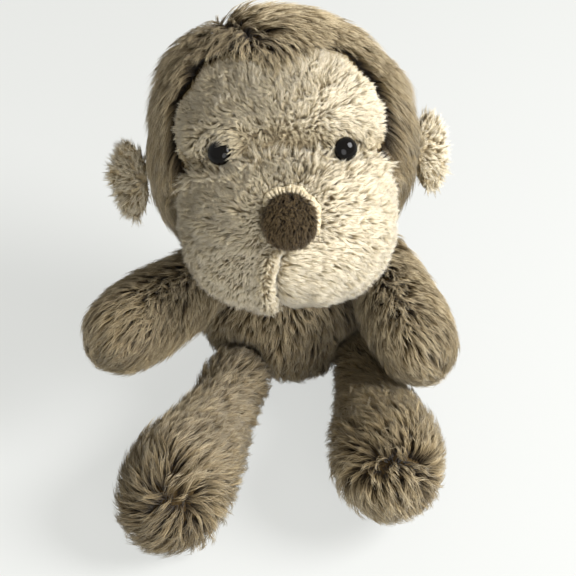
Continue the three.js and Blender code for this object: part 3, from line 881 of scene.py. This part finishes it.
def muzzleComb(points, normals):
    own = inHead(points)
    beside, shows = foldSide(own)
    lower = ease(*fold["combFrom"], own[:, 2]) * shows
    toSide = headTurn[:, 0] * fold["combAside"] + headTurn[:, 2] * fold["combUp"]
    leftLobe = lower * (beside > 0) * ease(*fold["leftTo"], beside)
    overhang = lower * (beside < 0) * ease(*fold["overFrom"], beside)
    pull = (fold["leftPull"] * leftLobe + fold["overPull"] * overhang)[:, None]
    return fromNose(points, normals) + pull * toSide + muzzle["lean"] * towardEyes(points)[0]


def muzzleTop(points):
    own = inHead(points)
    return (skullShare(own) < muzzle["topShare"]) & (own[:, 2] > muzzle["topAbove"])


# tufted on top, short by the nose and on the right lobe, long and flat beside the fold on the left one
def muzzleShape(points):
    own = inHead(points)
    tufts = muzzle["tuftMean"] + muzzle["tuftSwing"] * wander(points, muzzle["tuftWave"], muzzle["tuftSeed"])
    tufts = 1 + muzzleTop(points)[:, None] * np.clip(tufts, *muzzle["tuftEnds"])
    beside, shows = foldSide(own)
    dotted = shows * (beside < 0) * ease(*fold["dottedFrom"], beside)
    edge = shows * np.exp(-((beside - fold["edgeAt"]) / fold["edgeWide"]) ** 2)
    flat = shows * (beside > 0) * ease(*fold["flatTo"], beside)
    crest = ease(*muzzle["crestFrom"], skullShare(own))
    ring = ease(*muzzle["ringFrom"], noseRing(own))
    run = tufts[:, 0] * (1 - fold["dottedShort"] * dotted) * (1 + fold["flatLong"] * flat)
    run *= (muzzle["ringRun"] + (1 - muzzle["ringRun"]) * ring) * (1 - muzzle["crestShort"] * crest)
    high = tufts[:, 1] * (1 - fold["edgeLow"] * edge) * (1 - fold["flatLow"] * flat)
    high *= (muzzle["ringHigh"] + (1 - muzzle["ringHigh"]) * ring) * (1 + muzzle["crestHigh"] * crest)
    return run, high


# none under the nose, inside the head or over the eyes
def muzzleKeep(points, normals):
    own = inHead(points)
    inHeadShare = skullShare(own)
    bare = noseRing(own) < muzzle["noseBare"]
    bare &= (own[:, 1] < muzzle["noseFront"]) & (own[:, 2] > muzzle["noseLow"])
    hidden = (inHeadShare < muzzle["backShare"]) & (normals @ headTurn[:, 1] > muzzle["backFacing"])
    stay = ~bare & ~hidden & (inHeadShare > muzzle["insideShare"])
    for place in eyePlaces:
        stay &= eyeRing(points, place) > muzzle["eyeBare"]
    return stay


muzzlePile["shape"] = muzzleShape
muzzlePile["straight"] = muzzleTop
muzzlePile["rise"] = facePile["rise"]
muzzleSurface = surfaceOf(muzzleSkin)
growPile("muzzlePile", "head", muzzleSurface, muzzlePile, muzzleComb, creamPile, muzzleKeep)
lined(muzzleSkin, muzzle["wall"])
coverPiece(muzzleSkin, "head", creamBacking, ["muzzle_cover"])

# nose, and the ring of gathers where the muzzle is sewn to it
nose = {"voxel": 1.5, "inset": 1.2, "smooth": 4, "fill": 0.8}
nosePile = {
    "seed": 42, "spacing": 0.8, "strands": 5, "rings": 2, "run": 3, "uneven": 0.3, "high": 2.8,
    "base": -0.4, "arch": 1.8, "loft": 0.6, "stray": 0.6, "mess": 0.4, "clump": 7, "wave": 0.2,
    "gather": 0.2, "width": 0.17,
}
noseSkin = drawnIn("nosePatch", ["nose_patch"], nose["voxel"], nose["inset"], nose["smooth"])


def noseComb(points, normals):
    return np.tile(-headTurn[:, 2], (len(points), 1))


growPile("nosePile", "head", surfaceOf(noseSkin), nosePile, noseComb, darkPile)
coverPiece(noseSkin, "head", darkBacking, ["nose_patch"])

gathers = {
    "from": -38, "to": 150, "steps": 420, "folds": 22, "wide": 3.8, "tall": 1.3, "round": 10, "fill": 0.3,
    "uneven": ((0.16, 23, 1), (0.1, 51, 0)), "valley": 0.5, "crest": 0.45, "drift": 3, "shift": 0.2,
    "ends": 0.06, "thinnest": 0.02, "reach": 0.99, "sunk": 3, "leastBulge": 0.05,
}
turns = np.radians(np.linspace(gathers["from"], gathers["to"], gathers["steps"]))
bends = np.linspace(0, 2 * math.pi, gathers["round"], endpoint=False)
theta, phi = np.meshgrid(turns, bends, indexing="ij")
share = (theta - turns[0]) / (turns[-1] - turns[0])

# gathers of uneven size, thinning out at both ends of the ring
uneven = sum(much * np.sin(share * pace + start) for much, pace, start in gathers["uneven"])
along = share * math.pi * gathers["folds"] + gathers["drift"] * uneven
swellings = gathers["valley"] + gathers["crest"] * np.abs(np.sin(along)) + uneven
taper = np.sqrt(ease(0, gathers["ends"], share) * ease(1, 1 - gathers["ends"], share)) + gathers["thinnest"]
halfWide = 0.5 * gathers["wide"] / noseSpot["half"][0]
ringReach = gathers["reach"] + gathers["shift"] * uneven + halfWide * np.cos(phi) * taper
ringX = noseSpot["half"][0] * ringReach * np.cos(theta)
ringZ = noseSpot["middle"][2] + noseSpot["half"][1] * ringReach * np.sin(theta)
ringUp = gathers["tall"] * np.sin(phi) * taper * swellings
offX = ringX / muzzleForm["half"][0]
offZ = (ringZ - muzzleForm["middle"][2]) / muzzleForm["half"][2]
bulge = np.sqrt(np.maximum(gathers["leastBulge"], 1 - offX ** 2 - offZ ** 2))
muzzleFront = muzzleForm["middle"][1] - (muzzleForm["half"][1] - gathers["sunk"]) * bulge
ringPoints = np.stack([ringX, muzzleFront - ringUp, ringZ], 2).reshape(-1, 3)
ringCorners = []
around = gathers["round"]
for i in range(gathers["steps"] - 1):
    for j in range(around):
        a, b = i * around + j, i * around + (j + 1) % around
        ringCorners += [(a, b, a + around), (b, b + around, a + around)]
lastRow = (gathers["steps"] - 1) * around
for j in range(1, around - 1):
    ringCorners += [(0, j + 1, j), (lastRow, lastRow + j, lastRow + j + 1)]
gatherRing = newObject("noseGathers", newMesh("noseGathers", fromHead(ringPoints), np.array(ringCorners)))
gatherCloth = backingMaterial("gatherCloth", (160, 145, 112), (220, 208, 180))
gatherRing.data.materials.append(gatherCloth)
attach(gatherRing, "head")

# ears
ear = {
    "voxel": 1.8, "inset": 2.5, "smooth": 3, "fill": 0.5, "root": (68, 6, -12),
    "rimFacing": (0.75, 0.25), "rimAway": (4, 14), "rimShort": 0.6, "rimHigh": 0.3,
}
earPile = {
    "spacing": 1.4, "strands": 7, "rings": 2, "run": 6, "uneven": 0.35, "high": 3.8,
    "base": -0.4, "arch": 1.6, "loft": 1.2, "stray": 0.45, "mess": 0.28, "clump": 9, "wave": 0.4,
    "gather": 0.35, "width": 0.26,
}


def makeEarPanel(node, body, root, seed):
    skin = drawnIn(node + "_skin", [node], ear["voxel"], ear["inset"], ear["smooth"])
    surface = surfaceOf(skin)
    spread = surface["points"] - surface["points"].mean(0)
    across = np.linalg.svd(spread, full_matrices=False)[2][2]  # the way that the ear is thinnest

    # short and upright round the rim, where strands stand out
    def shape(points):
        rim = ease(*ear["rimFacing"], np.abs(onto(surface, points)[1] @ across))
        rim *= ease(*ear["rimAway"], np.linalg.norm(points - root, axis=1))
        return 1 - ear["rimShort"] * rim, 1 + ear["rimHigh"] * rim

    pile = dict(earPile, seed=seed, shape=shape, straight=lambda points: np.ones(len(points), bool))
    growPile(node + "_pile", body, surface, pile, awayFrom(root, root), creamPile)
    coverPiece(skin, body, creamBacking, [node])


for side, mark in (("left", 1), ("right", -1)):
    root = fromHead(np.array(ear["root"]) * (mark, 1, 1))
    for panel, seed in (("front", 51), ("back", 53)):
        makeEarPanel(side + "_ear_" + panel, side + "_ear", root, seed + mark)
print("face and ears made")

# eyes: moulded domes on shanks, locked by washers inside the head
eyeGlossy, eyeNodes, eyeLinks, eyeShader = newMaterial("eyePlastic")
eyeGrain = eyeNodes.new("ShaderNodeTexNoise")
eyeGrain.inputs["Scale"].default_value = 120
eyeTones = ramp(eyeNodes, [(0.3, (5, 3, 2)), (0.75, (10, 7, 4))])
eyeLinks.new(eyeGrain.outputs["Fac"], eyeTones.inputs["Fac"])
eyeLinks.new(eyeTones.outputs["Color"], eyeShader.inputs["Base Color"])
eyeShader.inputs["Roughness"].default_value = 0.05
eyeShader.inputs["Specular IOR Level"].default_value = 0.14
washerPlastic = backingMaterial("washerPlastic", (206, 204, 198), (224, 222, 216))
for side in ("left", "right"):
    eye = frame["nodes"][side + "_eye"]
    weld = eye.modifiers.new("weld", "WELD")
    weld.merge_threshold = 0.00005
    smoothing = eye.modifiers.new("smoothing", "SUBSURF")
    smoothing.levels = 2
    smoothing.render_levels = 2
    eye.data.materials.clear()
    eye.data.materials.append(eyeGlossy)
    eye.data.shade_smooth()
    washer = frame["nodes"][side + "_eye_washer"]
    washer.data.materials.clear()
    washer.data.materials.append(washerPlastic)

# fillings: lumps of loose fibre inside the covers
filling = {"voxel": 4, "inset": 1.2, "smooth": 6, "lump": 0.9, "lumpWave": 14, "lumpSeed": 71, "fill": 0.4}
for body, members in frame["record"]["behaviour"]["bodies"].items():
    for node in members:
        if not (node.endswith("_stuffing") or node == "seat_pouch"):
            continue
        lump = drawnIn(node + "_fibre", [node], filling["voxel"], filling["inset"], filling["smooth"])
        points, corners = meshArrays(lump.data)
        swell = wander(points, filling["lumpWave"], filling["lumpSeed"])[:, :1]
        push = swell * filling["lump"] - filling["lump"]
        movePoints(lump, points + vertexNormals(points, corners) * push)
        lump.data.shade_smooth()
        cloth = pouchCloth if node == "seat_pouch" else fibreFill
        coverPiece(lump, body, cloth, [node])
print("fillings made")

# floor, light and camera
floorHalf = 3000
floorPoints = np.array([(-1, -1, 0), (1, -1, 0), (1, 1, 0), (-1, 1, 0)]) * floorHalf
floor = newObject("floor", newMesh("floor", floorPoints, np.array([(0, 1, 2), (0, 2, 3)])))
paper, paperNodes, paperLinks, paperShader = newMaterial("palePaper")
paperShader.inputs["Base Color"].default_value = linear((208, 209, 206))
paperShader.inputs["Roughness"].default_value = 0.9
paperShader.inputs["Specular IOR Level"].default_value = 0.1


# one for rays that show the backdrop: the camera's own, and those off gloss or through glass
def backdropRays(nodes, links):
    rays = nodes.new("ShaderNodeLightPath")
    shown = rays.outputs["Is Camera Ray"]
    for kind in ("Is Glossy Ray", "Is Transmission Ray"):
        either = nodes.new("ShaderNodeMath")
        either.operation = "MAXIMUM"
        links.new(shown, either.inputs[0])
        links.new(rays.outputs[kind], either.inputs[1])
        shown = either.outputs["Value"]
    return shown


# the floor is seen lifted by part of a white glow, which lights nothing else
glow = paperNodes.new("ShaderNodeEmission")
glow.inputs["Color"].default_value = linear((248, 250, 247))
lift = paperNodes.new("ShaderNodeMapRange")
lift.inputs["To Max"].default_value = 0.65
paperLinks.new(backdropRays(paperNodes, paperLinks), lift.inputs["Value"])
blend = paperNodes.new("ShaderNodeMixShader")
paperLinks.new(lift.outputs["Result"], blend.inputs["Fac"])
paperLinks.new(paperShader.outputs["BSDF"], blend.inputs[1])
paperLinks.new(glow.outputs["Emission"], blend.inputs[2])
paperLinks.new(blend.outputs["Shader"], paperNodes["Material Output"].inputs["Surface"])
floor.data.materials.append(paper)

# soft light from all round, and a pale backdrop that is only seen
world = bpy.data.worlds.new("studio")
scene.world = world
world.use_nodes = True
skyNodes, skyLinks = world.node_tree.nodes, world.node_tree.links
sky = skyNodes["Background"]
sky.inputs["Color"].default_value = (1, 0.95, 0.87, 1)
sky.inputs["Strength"].default_value = 0.3
backdrop = skyNodes.new("ShaderNodeBackground")
backdrop.inputs["Color"].default_value = linear((240, 241, 239))
seenSky = skyNodes.new("ShaderNodeMixShader")
skyLinks.new(backdropRays(skyNodes, skyLinks), seenSky.inputs["Fac"])
skyLinks.new(sky.outputs["Background"], seenSky.inputs[1])
skyLinks.new(backdrop.outputs["Background"], seenSky.inputs[2])
skyLinks.new(seenSky.outputs["Shader"], skyNodes["World Output"].inputs["Surface"])

lampAim = Vector((-0.01, -0.03, 0.08))
lamps = {
    "keyLamp": {"place": (1.1, -0.5, 0.95), "size": 0.8, "power": 38},
    "fillLamp": {"place": (0.1, -1.4, 0.45), "size": 0.9, "power": 11},
}
for name, lamp in lamps.items():
    light = bpy.data.lights.new(name, "AREA")
    light.shape = "DISK"
    light.size = lamp["size"]
    light.energy = lamp["power"]
    light.color = (0.98, 0.98, 1)
    obj = bpy.data.objects.new(name, light)
    scene.collection.objects.link(obj)
    obj.location = lamp["place"]
    aim = lampAim - Vector(lamp["place"])
    obj.rotation_euler = aim.to_track_quat("-Z", "Y").to_euler()

shot = {
    "target": (-5.1, -33.6, 70), "azimuth": 9, "elevation": 40, "distance": 750, "across": 298, "sensor": 36,
}
turn, tilt = math.radians(shot["azimuth"]), math.radians(shot["elevation"])
ahead = Vector((math.sin(turn) * math.cos(tilt), math.cos(turn) * math.cos(tilt), -math.sin(tilt)))
lens = bpy.data.cameras.new("camera")
lens.sensor_width = shot["sensor"]
lens.lens = shot["sensor"] * shot["distance"] / shot["across"]
camera = bpy.data.objects.new("camera", lens)
scene.collection.objects.link(camera)
camera.location = (Vector(shot["target"]) - ahead * shot["distance"]) * mm
camera.rotation_euler = ahead.to_track_quat("-Z", "Y").to_euler()
scene.camera = camera
scene.view_settings.view_transform = "Standard"

print("scene ready")
